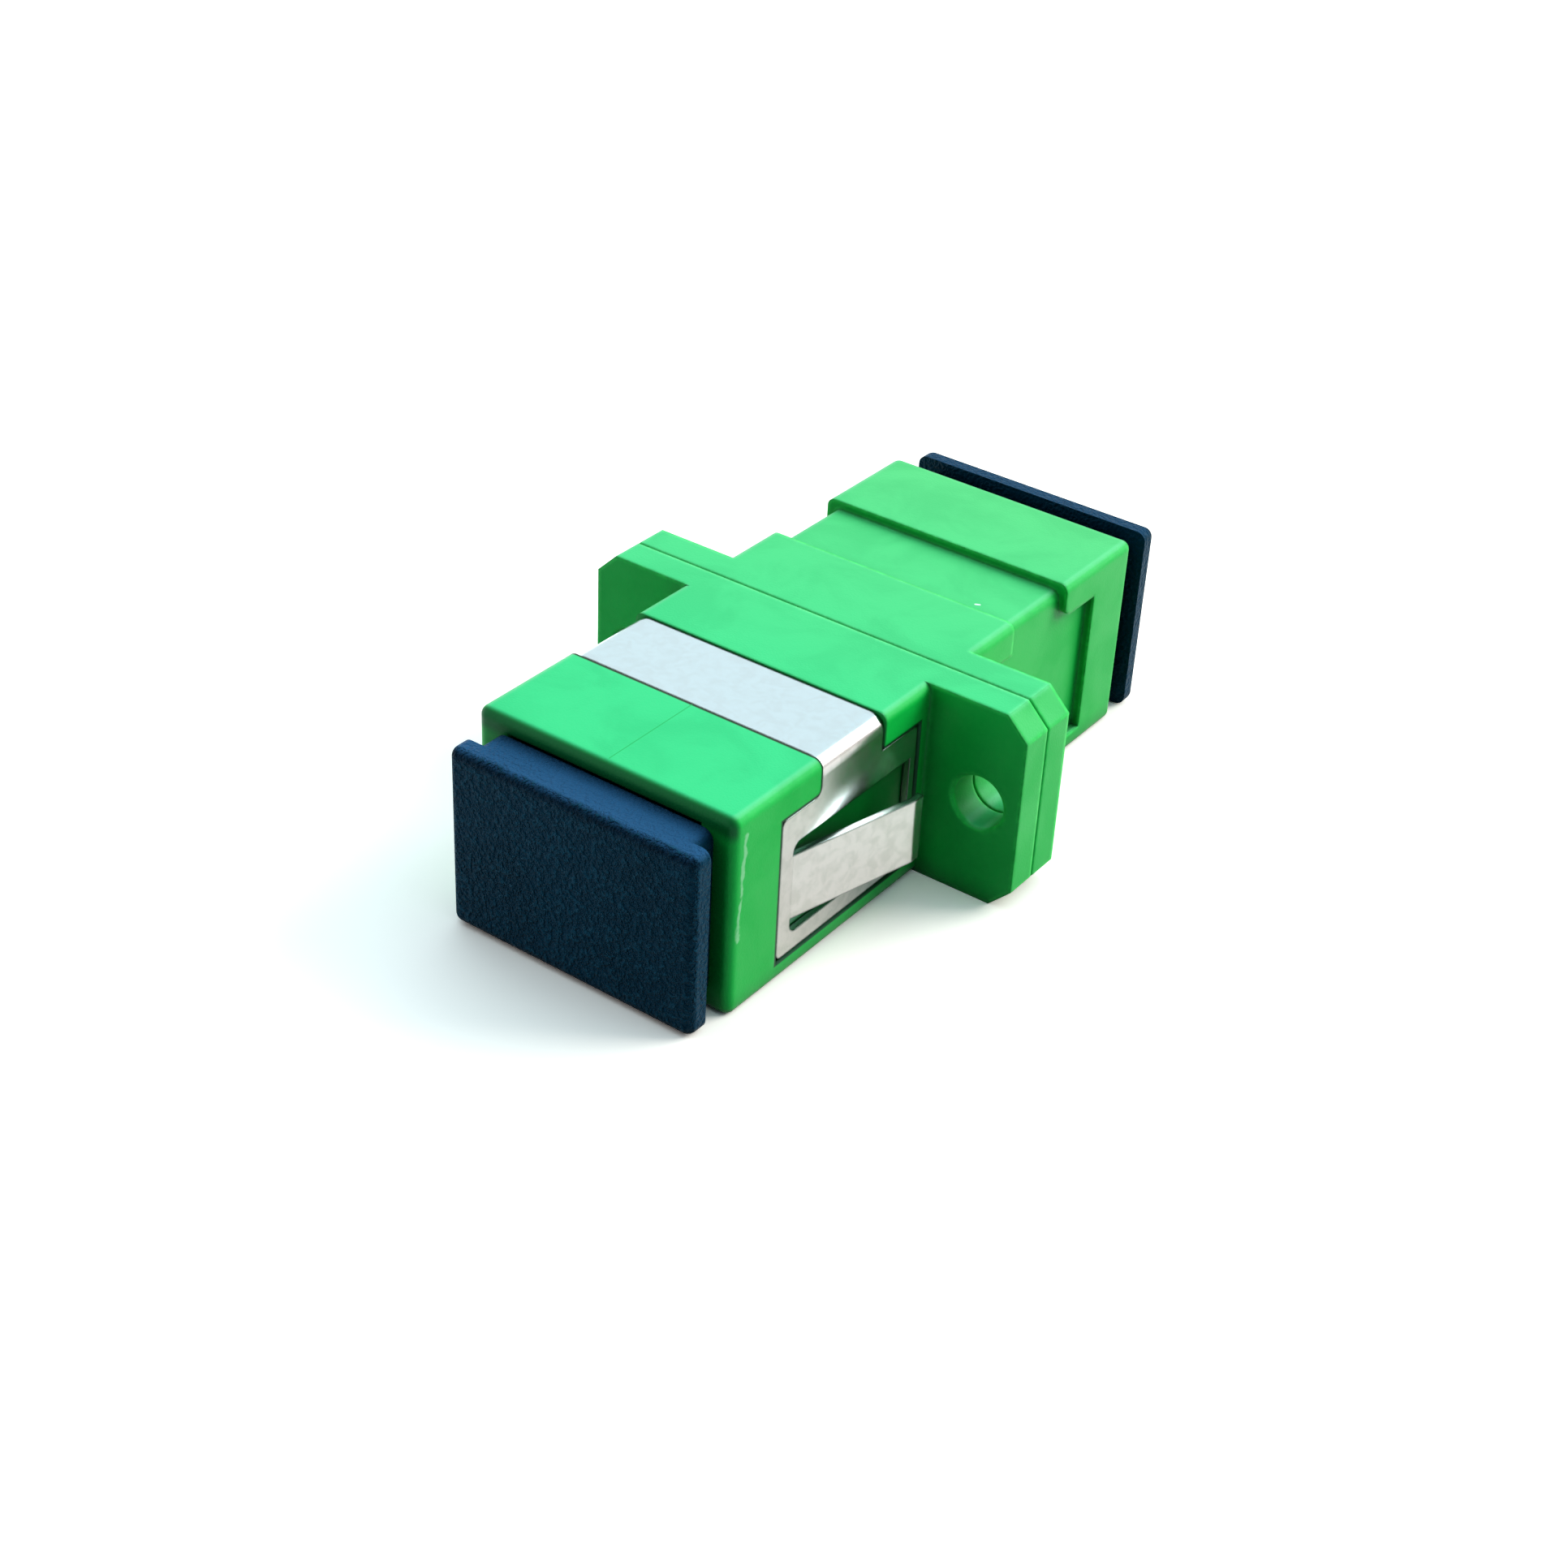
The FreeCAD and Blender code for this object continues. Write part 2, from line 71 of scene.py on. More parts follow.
def remap(tree, value, fromLow, fromHigh, toLow=0.0, toHigh=1.0, smooth=False):
    node = addNode(tree, "ShaderNodeMapRange", {
        "Value": value, "From Min": fromLow, "From Max": fromHigh, "To Min": toLow, "To Max": toHigh,
    })
    node.interpolation_type = "SMOOTHSTEP" if smooth else "LINEAR"
    return node.outputs["Result"]


def mixColors(tree, factor, first, second):
    node = addNode(tree, "ShaderNodeMix", data_type="RGBA")
    for index, value in ((0, factor), (6, first), (7, second)):
        if isinstance(value, bpy.types.NodeSocket):
            tree.links.new(value, node.inputs[index])
        else:
            node.inputs[index].default_value = value
    return node.outputs[2]


def rgba(color):
    return (color[0], color[1], color[2], 1.0)


def newGroup(name, inputs, outputs):
    group = bpy.data.node_groups.new(name, "ShaderNodeTree")
    for socket, kind, value in inputs:
        item = group.interface.new_socket(socket, in_out="INPUT", socket_type=kind)
        if value is not None:
            item.default_value = value
    for socket, kind in outputs:
        group.interface.new_socket(socket, in_out="OUTPUT", socket_type=kind)
    return group, group.nodes.new("NodeGroupInput"), group.nodes.new("NodeGroupOutput")


def useGroup(tree, group, values):
    node = tree.nodes.new("ShaderNodeGroup")
    node.node_tree = group
    for socket, value in values.items():
        if isinstance(value, bpy.types.NodeSocket):
            tree.links.new(value, node.inputs[socket])
        else:
            node.inputs[socket].default_value = value
    return node


def turnedUp(tree, normal, start, full):
    return useGroup(tree, upperFaces, {"Normal": normal, "From": start, "To": full}).outputs["Mask"]


def newMaterial(name):
    material = bpy.data.materials.new(name)
    material.use_nodes = True
    tree = material.node_tree
    tree.nodes.clear()
    output = tree.nodes.new("ShaderNodeOutputMaterial")
    shader = tree.nodes.new("ShaderNodeBsdfPrincipled")
    tree.links.new(shader.outputs["BSDF"], output.inputs["Surface"])
    return material, tree, shader


# shared effects: grain, edge nearness, smudges, upper faces, recesses and single marks


def makeGrain():
    # an uneven skin: coarse pits with finer ones over them, as height from 0 to 1
    group, entry, leave = newGroup("grain", [
        ("Vector", "NodeSocketVector", None),
        ("Size", "NodeSocketFloat", 0.0001),
        ("Fine Share", "NodeSocketFloat", 0.3),
    ], [("Height", "NodeSocketFloat")])
    scale = calculate(group, "DIVIDE", 1.0, entry.outputs["Size"])
    fineScale = calculate(group, "MULTIPLY", scale, 2.7)  # the finer pits are 2.7 times smaller
    coarse = addNode(group, "ShaderNodeTexNoise", {
        "Vector": entry.outputs["Vector"], "Scale": scale, "Detail": 2.0, "Roughness": 0.5,
    })
    fine = addNode(group, "ShaderNodeTexNoise", {
        "Vector": entry.outputs["Vector"], "Scale": fineScale, "Detail": 1.0, "Roughness": 0.5,
    })
    sharp = remap(group, coarse.outputs["Fac"], 0.32, 0.68, smooth=True)
    share = calculate(group, "MULTIPLY", fine.outputs["Fac"], entry.outputs["Fine Share"])
    total = calculate(group, "ADD", sharp, share)
    group.links.new(total, leave.inputs["Height"])
    return group


def makeEdges():
    # how near a point is to a convex edge, from a normal rounded over the edges, broken up along the
    # edge; the materials use it for painted edge highlights and painted dark edge outlines
    group, entry, leave = newGroup("edge nearness", [
        ("Vector", "NodeSocketVector", None),
        ("Rounded Normal", "NodeSocketVector", None),
        ("Width", "NodeSocketFloat", 0.0003),
        ("Breakup", "NodeSocketFloat", 0.5),
        ("Breakup Size", "NodeSocketFloat", 0.001),
    ], [("Mask", "NodeSocketFloat")])
    geometry = group.nodes.new("ShaderNodeNewGeometry")
    facing = addNode(group, "ShaderNodeVectorMath", {
        0: entry.outputs["Rounded Normal"], 1: geometry.outputs["Normal"],
    }, operation="DOT_PRODUCT")
    turned = remap(group, facing.outputs["Value"], 0.998, 0.93)
    scale = calculate(group, "DIVIDE", 1.0, entry.outputs["Breakup Size"])
    noise = addNode(group, "ShaderNodeTexNoise", {
        "Vector": entry.outputs["Vector"], "Scale": scale, "Detail": 4.0, "Roughness": 0.6,
    })
    patches = remap(group, noise.outputs["Fac"], 0.42, 0.6, smooth=True)
    least = calculate(group, "SUBTRACT", 1.0, entry.outputs["Breakup"])
    broken = calculate(group, "MULTIPLY_ADD", patches, entry.outputs["Breakup"], least)
    around = addNode(group, "ShaderNodeAmbientOcclusion", {"Distance": entry.outputs["Width"]}, samples=2)
    outer = remap(group, around.outputs["AO"], 0.45, 0.85)
    kept = calculate(group, "MULTIPLY", broken, outer)
    mask = calculate(group, "MULTIPLY", turned, kept, clamp=True)
    group.links.new(mask, leave.inputs["Mask"])
    return group


def makeSmudges():
    # broad soft patches with a few streaks, for handling marks
    group, entry, leave = newGroup("smudges", [
        ("Vector", "NodeSocketVector", None),
        ("Size", "NodeSocketFloat", 0.002),
        ("Stretch", "NodeSocketVector", (1.0, 1.0, 1.0)),
    ], [("Mask", "NodeSocketFloat")])
    scale = calculate(group, "DIVIDE", 1.0, entry.outputs["Size"])
    stretched = addNode(group, "ShaderNodeVectorMath", {
        0: entry.outputs["Vector"], 1: entry.outputs["Stretch"],
    }, operation="MULTIPLY")
    noise = addNode(group, "ShaderNodeTexNoise", {
        "Vector": stretched.outputs["Vector"], "Scale": scale, "Detail": 5.0, "Roughness": 0.55,
        "Distortion": 0.6,
    })
    mask = remap(group, noise.outputs["Fac"], 0.38, 0.66, smooth=True)
    group.links.new(mask, leave.inputs["Mask"])
    return group


def makeUpper():
    # how far a face turns upwards, from 0 on walls to 1 on level tops
    group, entry, leave = newGroup("upper faces", [
        ("Normal", "NodeSocketVector", None),
        ("From", "NodeSocketFloat", 0.2),
        ("To", "NodeSocketFloat", 0.95),
    ], [("Mask", "NodeSocketFloat")])
    split = addNode(group, "ShaderNodeSeparateXYZ", {"Vector": entry.outputs["Normal"]})
    mask = remap(group, split.outputs["Z"], entry.outputs["From"], entry.outputs["To"], smooth=True)
    group.links.new(mask, leave.inputs["Mask"])
    return group


def makeRecess():
    # how shut in a point is, from 0 in the open to 1 deep in a gap or corner
    group, entry, leave = newGroup("recesses", [
        ("Reach", "NodeSocketFloat", 0.001),
    ], [("Depth", "NodeSocketFloat")])
    around = addNode(group, "ShaderNodeAmbientOcclusion", {"Distance": entry.outputs["Reach"]}, samples=3)
    group.links.new(calculate(group, "SUBTRACT", 1.0, around.outputs["AO"]), leave.inputs["Depth"])
    return group


def makeMark():
    # one thin line, or a speck where both its ends are the same place
    group, entry, leave = newGroup("mark", [
        ("Vector", "NodeSocketVector", None),
        ("Start", "NodeSocketVector", (0.0, 0.0, 0.0)),
        ("End", "NodeSocketVector", (0.0, 0.0, 0.0)),
        ("Width", "NodeSocketFloat", 0.0001),
        ("Waviness", "NodeSocketFloat", 0.0),
    ], [("Mask", "NodeSocketFloat")])

    def along(operation, first, second):
        return addNode(group, "ShaderNodeVectorMath", {0: first, 1: second}, operation=operation).outputs

    noise = addNode(group, "ShaderNodeTexNoise", {
        "Vector": entry.outputs["Vector"], "Scale": 1500.0, "Detail": 2.0, "Roughness": 0.6,
    })  # waves about 0.7 mm long
    centred = along("SUBTRACT", noise.outputs["Color"], (0.5, 0.5, 0.5))["Vector"]
    wave = addNode(group, "ShaderNodeVectorMath", {
        0: centred, "Scale": entry.outputs["Waviness"],
    }, operation="SCALE").outputs["Vector"]
    point = along("ADD", entry.outputs["Vector"], wave)["Vector"]
    course = along("SUBTRACT", entry.outputs["End"], entry.outputs["Start"])["Vector"]
    offset = along("SUBTRACT", point, entry.outputs["Start"])["Vector"]
    reached = calculate(
        group, "DIVIDE", along("DOT_PRODUCT", offset, course)["Value"],
        along("DOT_PRODUCT", course, course)["Value"], clamp=True,
    )
    nearest = addNode(group, "ShaderNodeVectorMath", {0: course, "Scale": reached}, operation="SCALE")
    away = along("DISTANCE", offset, nearest.outputs["Vector"])["Value"]
    inner = calculate(group, "MULTIPLY", entry.outputs["Width"], 0.3)  # full in the middle third
    mask = remap(group, away, entry.outputs["Width"], inner, smooth=True)
    group.links.new(mask, leave.inputs["Mask"])
    return group


grain = makeGrain()
edgeNearness = makeEdges()
smudges = makeSmudges()
upperFaces = makeUpper()
recesses = makeRecess()
singleMark = makeMark()
print("shared effects built")

# green housing

housingLook = {
    "color": (0.004, 0.51, 0.062),
    # painted light: shoulders and tops are painted paler than the walls, as if lit from above; the rim
    # colour is a painted highlight
    "litShoulderColor": (0.020, 0.51, 0.078),
    "litTopColor": (0.034, 0.66, 0.225),
    "farLitTopColor": (0.085, 0.64, 0.190),
    "rimColor": (0.22, 0.74, 0.36),
    # darker tone for random patches, and painted shade in recesses
    "shadeAndPatchColor": (0.0, 0.10, 0.012),
    # painted shade, near black, deep in gaps
    "gapShadeColor": (0.0, 0.006, 0.001),
    # painted highlight on convex edges, paler on tops
    "edgeColor": (0.035, 0.95, 0.12),
    "topEdgeHighlightColor": (0.24, 0.90, 0.42),
    "gleam": (0.30, 1.0, 0.70),
    "shine": 0.28,
    # where each tone starts and is full: by the upward share of the normal, then the sideways share
    "shoulderTilt": (0.15, 0.50),
    "topTilt": (0.82, 0.94),
    "levelTilt": (0.955, 0.995),
    "rimLean": (0.08, 0.22),
    # the painted lit top turns a little yellower between these places along the ports
    "farRange": (-9.0 * mm, 14.0 * mm),
    "patchSize": 3.5 * mm,
    "patchAmount": 0.11,
    "edgeBreakupSize": 0.5 * mm,
    "edgeBreakup": 0.5,
    "edgeAmount": 0.85,
    "rimAmount": 0.75,
    "roughness": (0.38, 0.47),
    "softEdge": 0.30 * mm,
    "grainSize": 0.09 * mm,
    "grainDepth": 0.004 * mm,
    "recessReach": 1.2 * mm,
    "recessDepth": (0.05, 0.75),
    "recessShadeAmount": 0.85,
    "gapDepth": (0.48, 0.85),
    # the clip's seat in the front half: (middle, half size) along the ports and upwards
    "pocketSpan": ((-6.87 * mm, 4.69 * mm), (4.275 * mm, 3.375 * mm)),
    "bandSpan": ((-6.965 * mm, 2.085 * mm), (14.0 * mm, 7.0 * mm)),
    # painted shade round and inside the clip's seat
    "seatLine": 0.09 * mm,
    "seatShadeLineColor": (0.0, 0.030, 0.004),
    "seatInside": 6.1 * mm,
    "seatShadeAmount": 0.65,
    # the port's upper edge, shaded by the cap: how far out and how high
    "mouthRange": (14.2 * mm, 14.5 * mm),
    "lintelRange": (8.0 * mm, 8.6 * mm),
    "lintelColor": (0.0, 0.11, 0.016),
    "marks": {
        # name: (start, end, width, color, amount, waviness)
        "seam": (
            (0.0, -14.2 * mm, 9.2 * mm), (0.0, -9.1 * mm, 9.2 * mm), 0.035 * mm,
            (0.006, 0.42, 0.075), 0.8, 0.0,
        ),
        # painted highlight: a pale streak on the near upright edge's rounding
        "streak": (
            (6.35 * mm, -13.9 * mm, 8.3 * mm), (6.35 * mm, -14.2 * mm, 3.6 * mm), 0.14 * mm,
            (0.55, 0.95, 0.60), 0.45, 0.4 * mm,
        ),
        "scratch": (
            (5.95 * mm, 5.07 * mm, 8.72 * mm), (5.95 * mm, 5.12 * mm, 7.43 * mm), 0.035 * mm,
            (0.55, 0.95, 0.60), 0.4, 0.0,
        ),
        "fleck": (
            (3.80 * mm, 5.70 * mm, 8.8 * mm), (3.94 * mm, 5.77 * mm, 8.8 * mm), 0.085 * mm,
            (1.0, 1.0, 0.95), 0.9, 0.0,
        ),
    },
}


def addMark(tree, place, base, mark):
    start, end, width, color, amount, waviness = mark
    mask = useGroup(tree, singleMark, {
        "Vector": place, "Start": start, "End": end, "Width": width, "Waviness": waviness,
    }).outputs["Mask"]
    return mixColors(tree, calculate(tree, "MULTIPLY", mask, amount), base, rgba(color))


def awayFrom(tree, along, up, span):
    # distance outside a rectangle in the upright plane along the ports, negative inside it
    gaps = []
    for place, (middle, half) in zip((along, up), span):
        offset = calculate(tree, "ABSOLUTE", calculate(tree, "SUBTRACT", place, middle))
        gaps.append(calculate(tree, "SUBTRACT", offset, half))
    return calculate(tree, "MAXIMUM", gaps[0], gaps[1])


def housingTones(tree, look, split, soft, rising, upper):
    # painted light: walls, then rounded shoulders and tops painted paler as if lit from above, with a
    # painted highlight as a pale line where a top rolls over to a side
    level = turnedUp(tree, soft, *look["levelTilt"])
    body = mixColors(tree, rising, rgba(look["color"]), rgba(look["litShoulderColor"]))
    rearward = remap(tree, split.outputs["Y"], *look["farRange"])
    tone = mixColors(tree, rearward, rgba(look["litTopColor"]), rgba(look["farLitTopColor"]))
    body = mixColors(tree, upper, body, tone)
    turned = addNode(tree, "ShaderNodeSeparateXYZ", {"Vector": soft}).outputs["X"]
    sideways = remap(tree, calculate(tree, "ABSOLUTE", turned), *look["rimLean"], smooth=True)
    rim = calculate(tree, "MULTIPLY", calculate(tree, "SUBTRACT", upper, level, clamp=True), sideways)
    amount = calculate(tree, "MULTIPLY", rim, look["rimAmount"])
    return mixColors(tree, amount, body, rgba(look["rimColor"]))


def shadeSeat(tree, look, body, split, seat, rising):
    # painted shade: a thin dark line in the gap round the clip's seat, which fades outwards, and darker
    # walls inside it
    width = look["seatLine"]
    line = remap(tree, seat, 1.5 * width, 0.8 * width)
    line = calculate(tree, "MULTIPLY", line, calculate(tree, "GREATER_THAN", seat, -0.3 * width))
    body = mixColors(tree, line, body, rgba(look["seatShadeLineColor"]))
    across = calculate(tree, "ABSOLUTE", split.outputs["X"])
    within = calculate(tree, "LESS_THAN", across, look["seatInside"])
    walls = calculate(tree, "MULTIPLY", within, calculate(tree, "SUBTRACT", 1.0, rising))
    inside = calculate(tree, "MULTIPLY", walls, calculate(tree, "LESS_THAN", seat, 0.0))
    amount = calculate(tree, "MULTIPLY", inside, look["seatShadeAmount"])
    return mixColors(tree, amount, body, rgba(look["gapShadeColor"]))


def shadeLintel(tree, look, body, split):
    outward = calculate(tree, "ABSOLUTE", split.outputs["Y"])
    mouth = remap(tree, outward, *look["mouthRange"], smooth=True)
    high = remap(tree, split.outputs["Z"], *look["lintelRange"], smooth=True)
    return mixColors(tree, calculate(tree, "MULTIPLY", mouth, high), body, rgba(look["lintelColor"]))


def makeHousing(look):
    material, tree, shader = newMaterial("green moulding")
    place = addNode(tree, "ShaderNodeTexCoord").outputs["Object"]
    split = addNode(tree, "ShaderNodeSeparateXYZ", {"Vector": place})
    soft = addNode(tree, "ShaderNodeBevel", {"Radius": look["softEdge"]}, samples=4).outputs["Normal"]
    # painted light: the shoulder and top tones follow the rounded normal's upward share
    rising = turnedUp(tree, soft, *look["shoulderTilt"])
    upper = turnedUp(tree, soft, *look["topTilt"])
    body = housingTones(tree, look, split, soft, rising, upper)
    patches = useGroup(tree, smudges, {"Vector": place, "Size": look["patchSize"]}).outputs["Mask"]
    patched = calculate(tree, "MULTIPLY", patches, look["patchAmount"])
    body = mixColors(tree, patched, body, rgba(look["shadeAndPatchColor"]))
    # painted shade: darker in recesses, corners and gaps, from the occlusion depth
    depth = useGroup(tree, recesses, {"Reach": look["recessReach"]}).outputs["Depth"]
    shaded = remap(tree, depth, *look["recessDepth"], 0.0, look["recessShadeAmount"])
    body = mixColors(tree, shaded, body, rgba(look["shadeAndPatchColor"]))
    # painted highlight: pale convex edges, broken up along them
    edges = useGroup(tree, edgeNearness, {
        "Vector": place, "Rounded Normal": soft, "Width": look["softEdge"],
        "Breakup": look["edgeBreakup"], "Breakup Size": look["edgeBreakupSize"],
    }).outputs["Mask"]
    amount = calculate(tree, "MULTIPLY", edges, look["edgeAmount"])
    pale = mixColors(tree, upper, rgba(look["edgeColor"]), rgba(look["topEdgeHighlightColor"]))
    pocket = awayFrom(tree, split.outputs["Y"], split.outputs["Z"], look["pocketSpan"])
    band = awayFrom(tree, split.outputs["Y"], split.outputs["Z"], look["bandSpan"])
    seat = calculate(tree, "MINIMUM", pocket, band)
    # the edges of the seat get no painted edge highlight
    plain = calculate(tree, "GREATER_THAN", seat, 2.5 * look["seatLine"])
    body = mixColors(tree, calculate(tree, "MULTIPLY", amount, plain), body, pale)
    body = shadeSeat(tree, look, body, split, seat, rising)
    body = shadeLintel(tree, look, body, split)
    # painted shade: near black deep in gaps
    body = mixColors(tree, remap(tree, depth, *look["gapDepth"]), body, rgba(look["gapShadeColor"]))
    for mark in look["marks"].values():
        body = addMark(tree, place, body, mark)
    tree.links.new(body, shader.inputs["Base Color"])
    rough = remap(tree, patches, 0.0, 1.0, *look["roughness"])
    tree.links.new(rough, shader.inputs["Roughness"])
    height = useGroup(tree, grain, {
        "Vector": place, "Size": look["grainSize"], "Fine Share": 0.4,
    }).outputs["Height"]
    bump = addNode(tree, "ShaderNodeBump", {
        "Height": height, "Distance": look["grainDepth"], "Strength": 0.5, "Normal": soft,
    })
    tree.links.new(bump.outputs["Normal"], shader.inputs["Normal"])
    shader.inputs["Specular IOR Level"].default_value = look["shine"]
    shader.inputs["Specular Tint"].default_value = rgba(look["gleam"])
    return material


# spring steel clip

clipLook = {
    "color": (0.53, 0.50, 0.49),
    # painted reflection: upper faces paler and bluer, as the bright sky mirrored
    "litTopColor": (0.665, 0.855, 0.915),
    "smudgeColor": (0.40, 0.385, 0.36),
    # painted shade: a dark outline along the clip's convex edges
    "edgeColor": (0.05, 0.07, 0.06),
    # painted shade where the clip is shut in
    "shutShadeColor": (0.10, 0.12, 0.11),
    "topTilt": (0.5, 0.9),
    "roughness": 0.19,
    "smudgeRoughness": 0.05,
    "smudgeSize": 0.6 * mm,
    "smudgeAmount": 0.55,
    "topSmudgeAmount": 0.10,
    "edgeBreakupSize": 0.3 * mm,
    "edgeBreakup": 0.3,
    "edgeAmount": 1.7,
    "shutReach": 0.5 * mm,
    "shutDepth": (0.4, 0.9),
    "shutAmount": 0.8,
    "rolledSize": 0.9 * mm,
    "rolledDepth": 0.002 * mm,
    "softEdge": 0.12 * mm,
}


def makeSteel(look):
    material, tree, shader = newMaterial("spring steel")
    place = addNode(tree, "ShaderNodeTexCoord").outputs["Object"]
    normal = addNode(tree, "ShaderNodeTexCoord").outputs["Normal"]
    upper = turnedUp(tree, normal, *look["topTilt"])
    marks = useGroup(tree, smudges, {"Vector": place, "Size": look["smudgeSize"]}).outputs["Mask"]
    walls = remap(tree, upper, 0.0, 1.0, look["smudgeAmount"], look["topSmudgeAmount"])
    marks = calculate(tree, "MULTIPLY", marks, walls)
    # painted reflection: upper faces paler and bluer, as the bright sky mirrored
    body = mixColors(tree, upper, rgba(look["color"]), rgba(look["litTopColor"]))
    body = mixColors(tree, marks, body, rgba(look["smudgeColor"]))
    soft = addNode(tree, "ShaderNodeBevel", {"Radius": look["softEdge"]}, samples=4).outputs["Normal"]
    edges = useGroup(tree, edgeNearness, {
        "Vector": place, "Rounded Normal": soft, "Width": look["softEdge"],
        "Breakup": look["edgeBreakup"], "Breakup Size": look["edgeBreakupSize"],
    }).outputs["Mask"]
    # painted shade: a dark outline along the clip's convex edges
    outline = calculate(tree, "MULTIPLY", edges, look["edgeAmount"], clamp=True)
    body = mixColors(tree, outline, body, rgba(look["edgeColor"]))
    # painted shade: darker where the clip is shut in
    depth = useGroup(tree, recesses, {"Reach": look["shutReach"]}).outputs["Depth"]
    shut = remap(tree, depth, *look["shutDepth"], 0.0, look["shutAmount"])
    body = mixColors(tree, shut, body, rgba(look["shutShadeColor"]))
    tree.links.new(body, shader.inputs["Base Color"])
    rough = calculate(tree, "MULTIPLY_ADD", marks, look["smudgeRoughness"], look["roughness"])
    tree.links.new(rough, shader.inputs["Roughness"])
    shader.inputs["Metallic"].default_value = 1.0
    height = useGroup(tree, grain, {
        "Vector": place, "Size": look["rolledSize"], "Fine Share": 0.2,
    }).outputs["Height"]
    bump = addNode(tree, "ShaderNodeBump", {
        "Height": height, "Distance": look["rolledDepth"], "Strength": 0.3, "Normal": soft,
    })
    tree.links.new(bump.outputs["Normal"], shader.inputs["Normal"])
    return material


# dust caps

capLook = {
    "color": (0.0008, 0.032, 0.068),
    # painted sheen: upper faces paler and bluer, as the sky mirrored
    "litTopColor": (0.020, 0.088, 0.200),
    # painted light: the rear cap's upper faces are painted less pale than the front cap's
    "rearTopLightShare": 0.35,
    "rearRange": (5.0 * mm, 10.0 * mm),
    # painted dark reflection on the rim below the upper faces
    "rimColor": (0.0, 0.006, 0.022),
    # painted shade, near black, deep in gaps
    "gapShadeColor": (0.0, 0.002, 0.006),
    # painted highlight on the grain's peaks
    "grainHighlightColor": (0.007, 0.068, 0.125),
    "gleam": (0.25, 0.80, 1.0),
    "shine": 0.07,
    # how rough the plain faces and the textured plate are, and where the plate's texture starts
    "roughness": (0.44, 0.56),
    "faceRange": (16.22 * mm, 16.40 * mm),
    "plainRelief": 0.2,
    "patchSize": 3.0 * mm,
    "patchRelief": 0.55,
    "grainHighlightHeight": (0.7, 1.3),
    # painted light by the upward share of the normal: paler upper faces, and a painted dark reflection on
    # the rounded rim below them
    "topTilt": (0.35, 0.95),
    "rimStart": (0.08, 0.38),
    "rimEnd": (0.50, 0.85),
    "rimWidth": 0.55 * mm,
    "gapReach": 0.8 * mm,
    "gapDepth": (0.15, 0.60),
    "grainSize": 0.18 * mm,
    "grainDepth": 0.32 * mm,
}


def makeCap(look):
    material, tree, shader = newMaterial("cap moulding")
    place = addNode(tree, "ShaderNodeTexCoord").outputs["Object"]
    split = addNode(tree, "ShaderNodeSeparateXYZ", {"Vector": place})
    outward = calculate(tree, "ABSOLUTE", split.outputs["Y"])
    face = remap(tree, outward, *look["faceRange"], smooth=True)
    normal = addNode(tree, "ShaderNodeTexCoord").outputs["Normal"]
    # painted sheen: upper faces paler and bluer, less so on the rear cap
    upper = turnedUp(tree, normal, *look["topTilt"])
    rearLight = remap(tree, split.outputs["Y"], *look["rearRange"], 1.0, look["rearTopLightShare"])
    upper = calculate(tree, "MULTIPLY", upper, rearLight)
    body = mixColors(tree, upper, rgba(look["color"]), rgba(look["litTopColor"]))
    # painted dark reflection on the plate's rounded rim
    rounded = addNode(tree, "ShaderNodeBevel", {"Radius": look["rimWidth"]}, samples=4)
    leaning = addNode(tree, "ShaderNodeSeparateXYZ", {"Vector": rounded.outputs["Normal"]}).outputs["Z"]
    rising = remap(tree, leaning, *look["rimStart"], smooth=True)
    settled = remap(tree, leaning, *look["rimEnd"], smooth=True)
    rim = calculate(tree, "MULTIPLY", calculate(tree, "SUBTRACT", rising, settled, clamp=True), face)
    height = useGroup(tree, grain, {
        "Vector": place, "Size": look["grainSize"], "Fine Share": 0.5,
    }).outputs["Height"]
    patches = useGroup(tree, smudges, {"Vector": place, "Size": look["patchSize"]}).outputs["Mask"]
    strength = remap(tree, patches, 0.0, 1.0, look["patchRelief"], 1.0)
    # painted highlight: the grain's peaks on the plate are paler
    tops = calculate(tree, "MULTIPLY", remap(tree, height, *look["grainHighlightHeight"]), face)
    body = mixColors(tree, tops, body, rgba(look["grainHighlightColor"]))
    body = mixColors(tree, rim, body, rgba(look["rimColor"]))
    # painted shade: near black deep in gaps
    depth = useGroup(tree, recesses, {"Reach": look["gapReach"]}).outputs["Depth"]
    body = mixColors(tree, remap(tree, depth, *look["gapDepth"]), body, rgba(look["gapShadeColor"]))
    tree.links.new(body, shader.inputs["Base Color"])
    rough = remap(tree, face, 0.0, 1.0, *look["roughness"])
    tree.links.new(rough, shader.inputs["Roughness"])
    textured = remap(tree, face, 0.0, 1.0, look["plainRelief"], 1.0)
    relief = calculate(tree, "MULTIPLY", textured, strength)
    raised = calculate(tree, "MULTIPLY", height, relief)
    bump = addNode(tree, "ShaderNodeBump", {
        "Height": raised, "Distance": look["grainDepth"], "Strength": 0.9,
    })
    tree.links.new(bump.outputs["Normal"], shader.inputs["Normal"])
    shader.inputs["Specular IOR Level"].default_value = look["shine"]
    shader.inputs["Specular Tint"].default_value = rgba(look["gleam"])
    return material


# inner holders and sleeve

insideLook = {
    "holderColor": (0.72, 0.72, 0.66),
    "holderDullness": 0.9,
    "holderRoughness": 0.45,
    "holderPatchSize": 2.5 * mm,
    "grainSize": 0.08 * mm,
    "grainDepth": 0.004 * mm,
    "sleeveColor": (0.83, 0.82, 0.77),
    "sleeveDullness": 0.93,
    "sleeveRoughness": (0.12, 0.24),
    # the ground surface's marks: their size, and how they are stretched round the sleeve
    "groundSize": 0.4 * mm,
    "groundStretch": (1.0, 6.0, 1.0),
}


